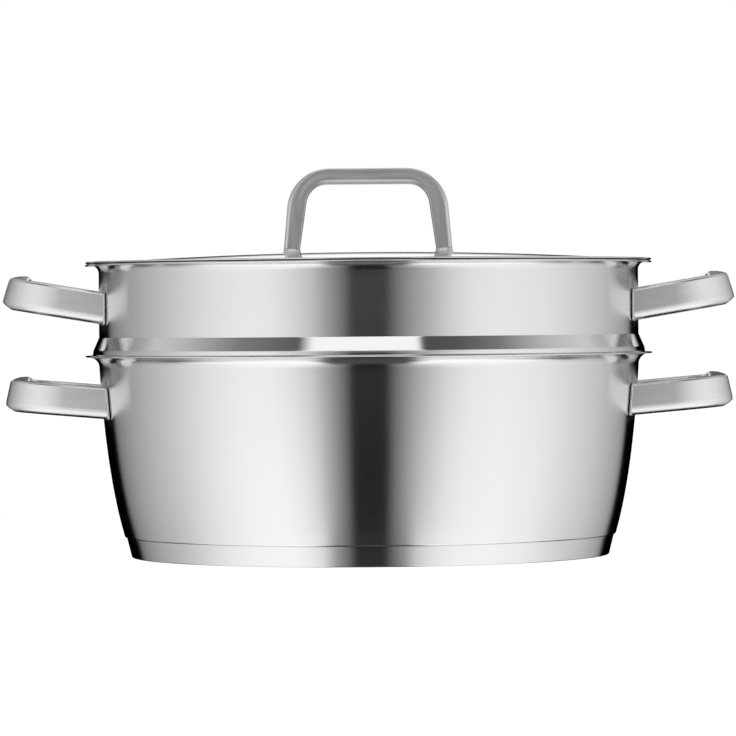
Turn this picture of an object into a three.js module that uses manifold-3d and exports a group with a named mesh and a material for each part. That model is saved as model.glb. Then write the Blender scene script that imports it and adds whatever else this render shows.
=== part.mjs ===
// A stainless steel braiser with a stacking steamer insert and a flat lid.
// Millimetres, +Z up. The origin is the middle of the underside of the base, and the side handles
// lie along X. The insert stands in the braiser's mouth and the lid lies in the insert's mouth.
import * as THREE from "three";
import { mergeVertices } from "three/addons/utils/BufferGeometryUtils.js";
import Module from "manifold-3d";

// Sheet gauges and seams
const VESSEL_GAUGE = 0.8;
const LID_GAUGE = 0.8;
const CAPSULE_GAUGE = 0.8;
const SEAM_GAP = 0.3; // between pieces that are welded or pressed together

// Mouth and pouring rim, alike on both vessels
const MOUTH_RADIUS = 140.3; // inside, just below the flare: a 28 cm vessel
const RIM_REACH = 7.1; // lip beyond the outside of the wall
const FLARE_ROUND = 5.5; // outside of the bend between wall and rim

// Braiser
const BRAISER_HEIGHT = 105.4; // base to rim
const HEEL_INSET = 12; // where the wall turns in to the floor, inside the wall's top
const HEEL_HEIGHT = 14.8;
const HEEL_RUN = 10; // floor taken up by the rounded heel
const WALL_LEAN_TOP = THREE.MathUtils.degToRad(3.4);
const WALL_LEAN_HEEL = THREE.MathUtils.degToRad(15.1);

// Base: an aluminium heat core closed in by a pressed steel capsule
const CORE_THICKNESS = 7.5;
const CAPSULE_INSET = 2.2; // capsule's top edge inside the heel
const CAPSULE_TAPER = THREE.MathUtils.degToRad(14);
const CAPSULE_ROUND = 1.4;

// Steamer insert
const STEAMER_RISE = 48.4; // its rim above the braiser's rim
const BEAD_REACH = 3.2; // widest part of the step that stands on the braiser's rim, beyond the wall
const BEAD_EDGE = 2.7; // height of that widest part above the braiser's rim
const BEAD_TOP = 9.5; // where the sloped step meets the wall, above the braiser's rim
const BEAD_ROUND = 1.6;
const BEAD_FOOT_ROUND = 1.2;
const FOLD_ROUND = 1.2;
const SPIGOT_DEPTH = 26; // reach of the insert into the braiser, below its rim
const SPIGOT_CLEARANCE = 1.4;
const SPIGOT_ROUND = 4;
const LEDGE_WIDTH = 9; // inward ledge that carries the perforated floor
const FLOOR_OVERLAP = 7; // ledge covered by that floor
const FLOOR_GAUGE = 1.0;
const HOLE_RADIUS = 4.5;
const HOLE_MARGIN = 8; // left plain inside the ledge
const HOLE_PITCH = 26; // between rings, and close to the spacing along them
const HOLES_PER_RING_STEP = 6;

// Lid
const LID_INSET = 0.2; // lid's edge inside the rim's edge
const DOME_RISE = 3.7; // crown of the lid above its rim
const PLUG_CLEARANCE = 1.0; // between the lid's centring groove and the mouth
const GROOVE_WIDTH = 6.4;
const GROOVE_DEPTH = 6;
const GROOVE_ROUND = 1.8;

// Side handles, all four alike
const BRAISER_HANDLE_DROP = 24.1; // middle of the handle's root below the braiser's rim
const STEAMER_HANDLE_DROP = 23.2; // and below the insert's rim
const HANDLE_RISE = THREE.MathUtils.degToRad(9.5); // above the square to the wall
const HANDLE_REACH = 49.7;
const HANDLE_HEIGHT = 16.4;
const ROOT_WIDTH = 79;
const END_WIDTH = 75;
const ARM_THICKNESS = 8.4;
const GRIP_THICKNESS = 11;
const OUTER_CORNER = 23;
const INNER_CORNER = 11;
const HANDLE_EDGE = 2.2; // rounding of the long edges
const CROWN_RISE = 2.4; // how far the middle of the grip swells above the arms
const CROWN_LENGTH = 40;
const CROWN_EDGE = 1.6; // rounding along the swell
const GRIP_LEAN = 2.2; // how far the grip's face leans back at its top
const CHAMFER_RUN = 6.5; // under the grip's outer edge
const CHAMFER_RISE = 3.2;
const FOOT_THICKNESS = 1.6; // saddle welded between arm and wall
const FOOT_MARGIN = 0.6; // saddle shown round the arm
const FOOT_ROUND = 2.6;

// Lid handle
const ARCH_HEIGHT = 44; // above the crown of the lid
const ARCH_WIDTH = 88;
const ARCH_LEG = 8.3; // thickness of a leg at its foot
const ARCH_LEAN = THREE.MathUtils.degToRad(5.1); // outside of the legs
const ARCH_GAP_LEAN = THREE.MathUtils.degToRad(8.3); // inside of the legs
const ARCH_BAR = 8.2;
const ARCH_DEPTH = 16;
const ARCH_OUTER_CORNER = 22;
const ARCH_INNER_CORNER = 11;
const ARCH_EDGE = 2.8;
const PAD_THICKNESS = 2.2; // foot welded between lid and handle
const PAD_MARGIN = 0.3;
const PAD_ROUND = 3;

// Fineness of the faceted solids
const SEGMENTS = 48;
const WALL_STEPS = 4;
const DOME_STEPS = 5;
const BEND_STEP = 2.2; // along a bend in sheet
const CORNER_STEP = 5; // along a corner of a handle
const PAD_STEP = 2; // along a corner of a foot
const EDGE_STEPS = 2;
const CROWN_STEPS = 8;
const HOLE_SIDES = 8;
const SAME_POINT = 1e-6;
const WELD = 1e-4;

// Sizes worked out from those above
const OUTER_RADIUS = MOUTH_RADIUS + VESSEL_GAUGE;
const RIM_RADIUS = OUTER_RADIUS + RIM_REACH;
const HEEL_RADIUS = OUTER_RADIUS - HEEL_INSET;
const BEAD_RADIUS = OUTER_RADIUS + BEAD_REACH;
const LID_RADIUS = RIM_RADIUS - LID_INSET;
const FLOOR_UNDERSIDE = CAPSULE_GAUGE + CORE_THICKNESS;
const STEAMER_TOP = BRAISER_HEIGHT + STEAMER_RISE;
const LEDGE_UNDERSIDE = BRAISER_HEIGHT - SPIGOT_DEPTH;
const LEDGE_TOP = LEDGE_UNDERSIDE + VESSEL_GAUGE;
const CROWN_TOP = STEAMER_TOP + LID_GAUGE + DOME_RISE;

// Finishes
const SATIN_STEEL = { color: 0xc9c9c7, roughness: 0.32, metalness: 1 };
const POLISHED_STEEL = { color: 0xd6d6d4, roughness: 0.14, metalness: 1 };
const HANDLE_STEEL = { color: 0xbfbfbd, roughness: 0.38, metalness: 1 };
const ALUMINIUM = { color: 0xdadbdc, roughness: 0.5, metalness: 1 };

const wasm = await Module();
wasm.setup();

// A closed three.js geometry as a solid that can be cut.
function solidOf(geometry) {
  const bare = geometry.clone();
  bare.deleteAttribute("normal");
  bare.deleteAttribute("uv");
  const merged = mergeVertices(bare, WELD);
  const vertProperties = merged.attributes.position.array;
  const triVerts = new Uint32Array(merged.index.array);
  return new wasm.Manifold(new wasm.Mesh({ numProp: 3, vertProperties, triVerts }));
}

// A cut solid back as a three.js geometry.
function geometryOf(solid) {
  const mesh = solid.getMesh();
  const geometry = new THREE.BufferGeometry();
  geometry.setAttribute("position", new THREE.BufferAttribute(mesh.vertProperties, mesh.numProp));
  geometry.setIndex(new THREE.BufferAttribute(mesh.triVerts, 1));
  return geometry;
}

// Drops points that repeat the one before.
function distinct(points) {
  return points.filter((point, i) => i === 0 || point.distanceTo(points[i - 1]) > SAME_POINT);
}

// A path through corners [across, up, rounding], with an arc at each corner that has a rounding.
function roundedPath(corners) {
  const at = corners.map(([across, up]) => new THREE.Vector2(across, up));
  const path = new THREE.Path().moveTo(at[0].x, at[0].y);
  for (let i = 1; i < at.length; i++) {
    const rounding = corners[i][2] ?? 0;
    if (rounding === 0) {
      path.lineTo(at[i].x, at[i].y);
      continue;
    }
    const back = at[i - 1].clone().sub(at[i]).normalize();
    const ahead = at[i + 1].clone().sub(at[i]).normalize();
    const half = Math.acos(THREE.MathUtils.clamp(back.dot(ahead), -1, 1)) / 2;
    const start = at[i].clone().addScaledVector(back, rounding / Math.tan(half));
    const end = at[i].clone().addScaledVector(ahead, rounding / Math.tan(half));
    const inward = back.clone().add(ahead).normalize();
    const centre = at[i].clone().addScaledVector(inward, rounding / Math.sin(half));
    const from = start.clone().sub(centre).angle();
    const to = end.clone().sub(centre).angle();
    path.lineTo(start.x, start.y);
    path.absarc(centre.x, centre.y, rounding, from, to, back.cross(ahead) > 0);
  }
  return path;
}

// The points of a path: straight stretches by their ends, bends in steps of about the length given.
function pointsOf(path, bendStep) {
  const steps = (curve) => {
    if (curve.isLineCurve) return 1;
    if (curve.isQuadraticBezierCurve) return WALL_STEPS;
    return Math.max(1, Math.round(curve.getLength() / bendStep));
  };
  return distinct(path.curves.flatMap((curve) => curve.getPoints(steps(curve))));
}

// The closed outline of a sheet, from one skin and the gauge that lies to its left.
function sheetOutline(skin, gauge) {
  const left = (from, to) => {
    const along = to.clone().sub(from).normalize();
    return new THREE.Vector2(-along.y, along.x);
  };
  const last = skin.length - 1;
  const far = skin.map((point, i) => {
    const before = left(skin[Math.max(i - 1, 0)], skin[Math.max(i, 1)]);
    const after = left(skin[Math.min(i, last - 1)], skin[Math.min(i + 1, last)]);
    const mitre = before.clone().add(after).divideScalar(1 + before.dot(after));
    return point.clone().addScaledVector(mitre, gauge);
  });
  return [...skin, ...far.reverse(), skin[0].clone()];
}

// A closed outline [radius, height] turned about Z.
function turned(outline) {
  return new THREE.LatheGeometry(outline, SEGMENTS).rotateX(Math.PI / 2);
}

// Where a skin's rising wall has a given height: its radius, and its lean from upright.
function wallAt(skin, height) {
  const i = skin.findIndex((point, j) => j > 0 && skin[j - 1].y <= height && point.y > height);
  const [low, high] = [skin[i - 1], skin[i]];
  const radius = THREE.MathUtils.mapLinear(height, low.y, high.y, low.x, high.x);
  return { radius, lean: Math.atan2(high.x - low.x, high.y - low.y) };
}

// The height of a skin at a given radius, on the stretch that runs out from the axis.
function heightAt(skin, radius) {
  const i = skin.findIndex((point) => point.x > radius);
  const [near, away] = [skin[i - 1], skin[i]];
  return THREE.MathUtils.mapLinear(radius, near.x, away.x, near.y, away.y);
}

// Everything inside a vessel's skin, grown by a clearance: what cuts a piece that stands on the wall.
function wallBody(skin, clearance) {
  const grown = skin.map(({ x, y }) => new THREE.Vector2(x > 0 ? x + clearance : 0, y));
  const bottom = new THREE.Vector2(0, grown[0].y);
  const top = new THREE.Vector2(0, grown[grown.length - 1].y);
  return solidOf(turned(distinct([bottom, ...grown, top])));
}

// The middle of the bend between a vessel's wall and its rim.
function rimBend(top) {
  return new THREE.Vector2(OUTER_RADIUS + FLARE_ROUND, top - VESSEL_GAUGE - FLARE_ROUND);
}

// The pouring rim that ends both vessels' skins: the wall bends out to a flat lip.
function addRim(path, top) {
  const bend = rimBend(top);
  path.lineTo(OUTER_RADIUS, bend.y);
  path.absarc(bend.x, bend.y, FLARE_ROUND, Math.PI, Math.PI / 2, true);
  path.lineTo(RIM_RADIUS, top - VESSEL_GAUGE);
}

// Braiser wall: a drawn shell whose side stands up more and more steeply from heel to rim.
function braiserSkin() {
  const wallTop = new THREE.Vector2(OUTER_RADIUS, rimBend(BRAISER_HEIGHT).y);
  const topSlope = Math.tan(WALL_LEAN_TOP);
  const heelSlope = Math.tan(WALL_LEAN_HEEL);
  const spread = wallTop.x - HEEL_RADIUS - topSlope * (wallTop.y - HEEL_HEIGHT);
  const bulge = HEEL_HEIGHT + spread / (heelSlope - topSlope);
  const heelCorner = HEEL_RADIUS - heelSlope * (HEEL_HEIGHT - FLOOR_UNDERSIDE);
  const path = new THREE.Path().moveTo(0, FLOOR_UNDERSIDE);
  path.lineTo(heelCorner - HEEL_RUN, FLOOR_UNDERSIDE);
  path.quadraticCurveTo(heelCorner, FLOOR_UNDERSIDE, HEEL_RADIUS, HEEL_HEIGHT);
  path.quadraticCurveTo(wallTop.x - topSlope * (wallTop.y - bulge), bulge, wallTop.x, wallTop.y);
  addRim(path, BRAISER_HEIGHT);
  return pointsOf(path, BEND_STEP);
}

// The height at which the foot of the steamer's step rests in the bend of the braiser's rim.
function steamerSeat() {
  const bend = rimBend(BRAISER_HEIGHT);
  const across = bend.x - (BEAD_RADIUS - BEAD_FOOT_ROUND);
  return bend.y + Math.sqrt((FLARE_ROUND + VESSEL_GAUGE) ** 2 - across ** 2) + SEAM_GAP;
}

// Steamer wall: a ledge, a spigot beside the braiser's wall, a step over its rim, then an upright side.
function steamerSkin(braiser) {
  const seat = steamerSeat();
  const braiserInside = wallAt(braiser, LEDGE_UNDERSIDE).radius - VESSEL_GAUGE;
  const spigotFoot = braiserInside - SPIGOT_CLEARANCE;
  const path = roundedPath([
    [spigotFoot - SPIGOT_ROUND - LEDGE_WIDTH, LEDGE_UNDERSIDE],
    [spigotFoot, LEDGE_UNDERSIDE, SPIGOT_ROUND],
    [MOUTH_RADIUS - SPIGOT_CLEARANCE, seat, FOLD_ROUND],
    [BEAD_RADIUS, seat, BEAD_FOOT_ROUND],
    [BEAD_RADIUS, BRAISER_HEIGHT + BEAD_EDGE, BEAD_ROUND],
    [OUTER_RADIUS, BRAISER_HEIGHT + BEAD_TOP],
  ]);
  addRim(path, STEAMER_TOP);
  return pointsOf(path, BEND_STEP);
}

// Lid: a shallow dome, a centring groove that drops into the mouth, and a flat rim.
function lidSkin() {
  const grooveOuter = MOUTH_RADIUS - PLUG_CLEARANCE;
  const grooveInner = grooveOuter - GROOVE_WIDTH;
  const grooveFloor = STEAMER_TOP - GROOVE_DEPTH;
  const curve = (grooveInner ** 2 + DOME_RISE ** 2) / (2 * DOME_RISE);
  const middle = STEAMER_TOP + DOME_RISE - curve;
  const dome = Array.from({ length: DOME_STEPS }, (_, i) => {
    const radius = (grooveInner * i) / DOME_STEPS;
    return [radius, middle + Math.sqrt(curve ** 2 - radius ** 2)];
  });
  const path = roundedPath([
    ...dome,
    [grooveInner, STEAMER_TOP, GROOVE_ROUND],
    [grooveInner, grooveFloor, GROOVE_ROUND],
    [grooveOuter, grooveFloor, GROOVE_ROUND],
    [grooveOuter, STEAMER_TOP, GROOVE_ROUND],
    [LID_RADIUS, STEAMER_TOP],
  ]);
  return pointsOf(path, BEND_STEP);
}

// Base capsule: a shallow pressed cup whose edge stops just under the heel.
function capsuleSkin(braiser) {
  const edge = HEEL_RADIUS - CAPSULE_INSET;
  const top = heightAt(braiser, edge - CAPSULE_GAUGE) - SEAM_GAP;
  const foot = edge - top * Math.tan(CAPSULE_TAPER);
  const path = roundedPath([
    [0, 0],
    [foot, 0, CAPSULE_ROUND],
    [edge, top],
  ]);
  return pointsOf(path, BEND_STEP);
}

// Heat core: a solid disc that fills the capsule up to the braiser's floor.
function coreOutline(capsule) {
  const edge = capsule[capsule.length - 1];
  const inside = edge.x - CAPSULE_GAUGE / Math.cos(CAPSULE_TAPER) - SEAM_GAP;
  const across = (height) => inside - (edge.y - height) * Math.tan(CAPSULE_TAPER);
  const path = roundedPath([
    [0, CAPSULE_GAUGE],
    [across(CAPSULE_GAUGE), CAPSULE_GAUGE, CAPSULE_ROUND],
    [across(FLOOR_UNDERSIDE), FLOOR_UNDERSIDE],
    [0, FLOOR_UNDERSIDE],
  ]);
  return pointsOf(path, BEND_STEP);
}

// A ring of points, for a circle in a flat outline.
function circle(x, y, radius, sides) {
  return Array.from({ length: sides }, (_, i) => {
    const turn = (2 * Math.PI * i) / sides;
    return new THREE.Vector2(x + radius * Math.cos(turn), y + radius * Math.sin(turn));
  });
}

// Steamer floor: a flat disc on the ledge, pierced in rings of holes about a middle one.
function perforatedFloor(steamer) {
  const ledgeInner = steamer[0].x;
  const rings = Math.floor((ledgeInner - HOLE_MARGIN - HOLE_RADIUS) / HOLE_PITCH);
  const disc = new THREE.Shape(circle(0, 0, ledgeInner + FLOOR_OVERLAP, SEGMENTS));
  const addHole = (x, y) => disc.holes.push(new THREE.Path(circle(x, y, HOLE_RADIUS, HOLE_SIDES)));
  addHole(0, 0);
  for (let ring = 1; ring <= rings; ring++) {
    const holes = ring * HOLES_PER_RING_STEP;
    circle(0, 0, ring * HOLE_PITCH, holes).forEach((place) => addHole(place.x, place.y));
  }
  return new THREE.ExtrudeGeometry(disc, { depth: FLOOR_GAUGE, bevelEnabled: false });
}

// A flat shape thickened to a height about its own plane, with its long edges rounded.
function roundedSlab(shape, height, edge) {
  const slab = new THREE.ExtrudeGeometry(shape, {
    depth: height - 2 * edge,
    bevelThickness: edge,
    bevelSize: edge,
    bevelOffset: -edge,
    bevelSegments: EDGE_STEPS,
  });
  return slab.translate(0, 0, edge - height / 2);
}

// Outline of a rectangle about the origin with rounded corners.
function roundedRectangle(halfAcross, halfUp, rounding) {
  const path = roundedPath([
    [0, -halfUp],
    [halfAcross, -halfUp, rounding],
    [halfAcross, halfUp, rounding],
    [-halfAcross, halfUp, rounding],
    [-halfAcross, -halfUp, rounding],
    [0, -halfUp],
  ]);
  return new THREE.Shape(pointsOf(path, PAD_STEP));
}

// Leans the face of a side handle's grip back towards its top.
function leanGrip(bow, gripInner) {
  const place = bow.attributes.position;
  for (let i = 0; i < place.count; i++) {
    const share = place.getZ(i) / HANDLE_HEIGHT + 0.5;
    const grip = THREE.MathUtils.smoothstep(place.getX(i), gripInner - GRIP_THICKNESS, HANDLE_REACH);
    place.setX(i, place.getX(i) - GRIP_LEAN * share * grip);
  }
  return bow;
}

// The swell along the top of a side handle's grip: a low arch that grows out of the grip.
function gripCrown(gripInner) {
  const half = CROWN_LENGTH / 2;
  const shoulder = HANDLE_HEIGHT / 2 - CROWN_EDGE;
  const arch = new THREE.Shape().moveTo(half, 0);
  arch.lineTo(half, shoulder);
  arch.quadraticCurveTo(0, shoulder + 2 * (CROWN_RISE + CROWN_EDGE), -half, shoulder);
  arch.lineTo(-half, 0);
  const swell = new THREE.ExtrudeGeometry(arch, {
    depth: GRIP_THICKNESS - GRIP_LEAN - 2 * CROWN_EDGE,
    curveSegments: CROWN_STEPS,
    bevelThickness: CROWN_EDGE,
    bevelSize: CROWN_EDGE,
    bevelOffset: -CROWN_EDGE,
    bevelSegments: EDGE_STEPS,
  });
  swell.rotateX(Math.PI / 2).rotateZ(Math.PI / 2);
  return solidOf(swell.translate(gripInner + CROWN_EDGE - GRIP_LEAN / 4, 0, 0));
}

// Side handle in its own frame: X out from the wall, Y along it, Z up, and the root at the origin.
function sideBow() {
  const root = -HANDLE_HEIGHT;
  const innerRoot = ROOT_WIDTH / 2 - ARM_THICKNESS;
  const innerEnd = END_WIDTH / 2 - ARM_THICKNESS;
  const gripInner = HANDLE_REACH - GRIP_THICKNESS;
  const path = roundedPath([
    [root, -ROOT_WIDTH / 2],
    [HANDLE_REACH, -END_WIDTH / 2, OUTER_CORNER],
    [HANDLE_REACH, END_WIDTH / 2, OUTER_CORNER],
    [root, ROOT_WIDTH / 2],
    [root, innerRoot],
    [gripInner, innerEnd, INNER_CORNER],
    [gripInner, -innerEnd, INNER_CORNER],
    [root, -innerRoot],
  ]);
  const shape = new THREE.Shape(pointsOf(path, CORNER_STEP));
  const bow = leanGrip(roundedSlab(shape, HANDLE_HEIGHT, HANDLE_EDGE), gripInner);
  const under = -HANDLE_HEIGHT / 2;
  const wedge = new THREE.Shape([
    new THREE.Vector2(HANDLE_REACH - CHAMFER_RUN, under),
    new THREE.Vector2(HANDLE_REACH - CHAMFER_RUN, under - CHAMFER_RISE),
    new THREE.Vector2(HANDLE_REACH + CHAMFER_RUN, under - CHAMFER_RISE),
    new THREE.Vector2(HANDLE_REACH + CHAMFER_RUN, under + 2 * CHAMFER_RISE),
  ]);
  const chamfer = new THREE.ExtrudeGeometry(wedge, { depth: 2 * ROOT_WIDTH, bevelEnabled: false });
  chamfer.rotateX(Math.PI / 2).translate(0, ROOT_WIDTH, 0);
  return solidOf(bow).add(gripCrown(gripInner)).subtract(solidOf(chamfer));
}

// A saddle blank: a rounded block along one arm, long enough to be trimmed to the wall.
function footBlank(way) {
  const halfAcross = ARM_THICKNESS / 2 + FOOT_MARGIN;
  const face = roundedRectangle(halfAcross, HANDLE_HEIGHT / 2 + FOOT_MARGIN, FOOT_ROUND);
  const blank = new THREE.ExtrudeGeometry(face, { depth: 2 * HANDLE_HEIGHT, bevelEnabled: false });
  blank.translate(0, 0, -HANDLE_HEIGHT).rotateX(Math.PI / 2).rotateZ(Math.PI / 2);
  return solidOf(blank.translate(0, (way * (ROOT_WIDTH - ARM_THICKNESS)) / 2, 0));
}

// Both side handles of a vessel, each a bow on two saddles that follow the wall.
function addSideHandles(vessel, name, skin, mountHeight) {
  const wall = wallAt(skin, mountHeight);
  const seat = new THREE.Group();
  seat.position.set(wall.radius, 0, mountHeight);
  seat.rotation.y = wall.lean - HANDLE_RISE;
  seat.updateMatrix();
  const toSeat = seat.matrix.clone().invert().toArray();
  const wallUpTo = (clearance) => wallBody(skin, clearance).transform(toSeat);
  const underSaddle = wallUpTo(SEAM_GAP);
  const overSaddle = wallUpTo(SEAM_GAP + FOOT_THICKNESS);
  const bow = geometryOf(sideBow().subtract(wallUpTo(SEAM_GAP + FOOT_THICKNESS + SEAM_GAP)));
  for (const [sideName, turn] of Object.entries({ right: 0, left: Math.PI })) {
    const side = new THREE.Group();
    side.rotation.z = turn;
    vessel.add(side);
    const place = seat.clone();
    side.add(place);
    addPiece(place, `${name}_handle_${sideName}`, bow, HANDLE_STEEL);
    for (const [footName, way] of Object.entries({ front: -1, rear: 1 })) {
      const saddle = footBlank(way * Math.cos(turn)).intersect(overSaddle).subtract(underSaddle);
      addPiece(place, `${name}_handle_${sideName}_${footName}_foot`, geometryOf(saddle), HANDLE_STEEL);
    }
  }
}

// Lid handle: an upright arch of rounded bar, standing on two welded feet.
function addLidHandle(vessel, lid) {
  const halfWidth = ARCH_WIDTH / 2;
  const halfGap = halfWidth - ARCH_LEG;
  const footMiddle = halfWidth - ARCH_LEG / 2;
  const halfFoot = ARCH_LEG / 2 + PAD_MARGIN;
  const padUnderside = heightAt(lid, footMiddle - halfFoot) + LID_GAUGE + SEAM_GAP;
  const archFoot = padUnderside + PAD_THICKNESS + SEAM_GAP;
  const archTop = CROWN_TOP + ARCH_HEIGHT;
  const gapTop = archTop - ARCH_BAR;
  const halfTop = halfWidth - (archTop - archFoot) * Math.tan(ARCH_LEAN);
  const halfGapTop = halfGap - (gapTop - archFoot) * Math.tan(ARCH_GAP_LEAN);
  const path = roundedPath([
    [-halfGap, archFoot],
    [-halfGapTop, gapTop, ARCH_INNER_CORNER],
    [halfGapTop, gapTop, ARCH_INNER_CORNER],
    [halfGap, archFoot],
    [halfWidth, archFoot],
    [halfTop, archTop, ARCH_OUTER_CORNER],
    [-halfTop, archTop, ARCH_OUTER_CORNER],
    [-halfWidth, archFoot],
  ]);
  const arch = roundedSlab(new THREE.Shape(pointsOf(path, CORNER_STEP)), ARCH_DEPTH, ARCH_EDGE);
  addPiece(vessel, "lid_handle", arch.rotateX(Math.PI / 2), HANDLE_STEEL);
  const face = roundedRectangle(halfFoot, ARCH_DEPTH / 2 + PAD_MARGIN, PAD_ROUND);
  const pad = new THREE.ExtrudeGeometry(face, { depth: PAD_THICKNESS, bevelEnabled: false });
  for (const [sideName, way] of Object.entries({ left: -1, right: 1 })) {
    const foot = addPiece(vessel, `lid_handle_${sideName}_foot`, pad, HANDLE_STEEL);
    foot.position.set(way * footMiddle, 0, padUnderside);
  }
}

// A named piece in a group.
function addPiece(group, name, geometry, finish) {
  const piece = new THREE.Mesh(geometry, new THREE.MeshStandardMaterial(finish));
  piece.name = name;
  group.add(piece);
  return piece;
}

const braiserWall = braiserSkin();
const steamerWall = steamerSkin(braiserWall);
const capsuleWall = capsuleSkin(braiserWall);
const lidWall = lidSkin();

const braiser = new THREE.Group();
addPiece(braiser, "braiser_shell", turned(sheetOutline(braiserWall, VESSEL_GAUGE)), SATIN_STEEL);
addPiece(braiser, "base_core", turned(coreOutline(capsuleWall)), ALUMINIUM);
addPiece(braiser, "base_capsule", turned(sheetOutline(capsuleWall, CAPSULE_GAUGE)), POLISHED_STEEL);
addSideHandles(braiser, "braiser", braiserWall, BRAISER_HEIGHT - BRAISER_HANDLE_DROP);

const steamer = new THREE.Group();
addPiece(steamer, "steamer_wall", turned(sheetOutline(steamerWall, VESSEL_GAUGE)), SATIN_STEEL);
const steamerFloor = addPiece(steamer, "steamer_floor", perforatedFloor(steamerWall), SATIN_STEEL);
steamerFloor.position.z = LEDGE_TOP;
addSideHandles(steamer, "steamer", steamerWall, STEAMER_TOP - STEAMER_HANDLE_DROP);

const lid = new THREE.Group();
addPiece(lid, "lid_shell", turned(sheetOutline(lidWall, LID_GAUGE)), POLISHED_STEEL);
addLidHandle(lid, lidWall);

const cookware = new THREE.Group();
cookware.add(braiser, steamer, lid);

export default cookware;
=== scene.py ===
"""A stainless steel braiser with a stacking steamer insert and a shallow lid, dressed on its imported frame.

Sizes are in millimetres and angles in degrees. Meshes are in metres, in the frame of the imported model:
+Z up, the side handles along X, and the middle of the underside of the base at the origin.
"""

from __future__ import annotations

import logging
import math
from dataclasses import dataclass, field, replace
from enum import Enum
from itertools import pairwise
from typing import Callable, Mapping, Sequence

import bmesh
import bpy
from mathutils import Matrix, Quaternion, Vector


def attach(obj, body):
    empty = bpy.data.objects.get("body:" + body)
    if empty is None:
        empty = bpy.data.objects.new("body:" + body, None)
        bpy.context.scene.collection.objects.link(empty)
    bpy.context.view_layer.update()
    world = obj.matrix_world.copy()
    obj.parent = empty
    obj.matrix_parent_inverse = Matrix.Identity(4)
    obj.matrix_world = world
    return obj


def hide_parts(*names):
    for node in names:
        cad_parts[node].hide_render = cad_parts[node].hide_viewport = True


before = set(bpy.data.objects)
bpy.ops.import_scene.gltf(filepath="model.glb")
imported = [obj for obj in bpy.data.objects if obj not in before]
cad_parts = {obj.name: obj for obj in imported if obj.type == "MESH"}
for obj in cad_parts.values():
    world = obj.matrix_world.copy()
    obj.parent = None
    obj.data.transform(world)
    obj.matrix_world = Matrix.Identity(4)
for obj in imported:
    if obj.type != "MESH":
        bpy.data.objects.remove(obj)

LOG = logging.getLogger("cookware")
MM = 0.001
SPIN_STEPS = 192  # faces round a turned piece
SMOOTH_ANGLE = 32.0  # faces that meet at less than this shade as one
SAME_PLACE = 1e-5  # how near two vertices lie that are one
HAIR = 0.01  # how near a vertex lies to the line that it is picked by
NEAR = 0.1  # the same, for lines that are far apart
NOISE_MEAN = 0.5
FULL_TURN = 360.0


class Body(Enum):
    """The bodies of the frame that pieces ride on."""

    BRAISER = "braiser"
    STEAMER = "steamer"
    LID = "lid"


class Drop(Enum):
    """What a straight cut takes away: the side its normal points from, the side it points to, or neither."""

    NOTHING = "nothing"
    BEHIND = "behind"
    AHEAD = "ahead"


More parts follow.
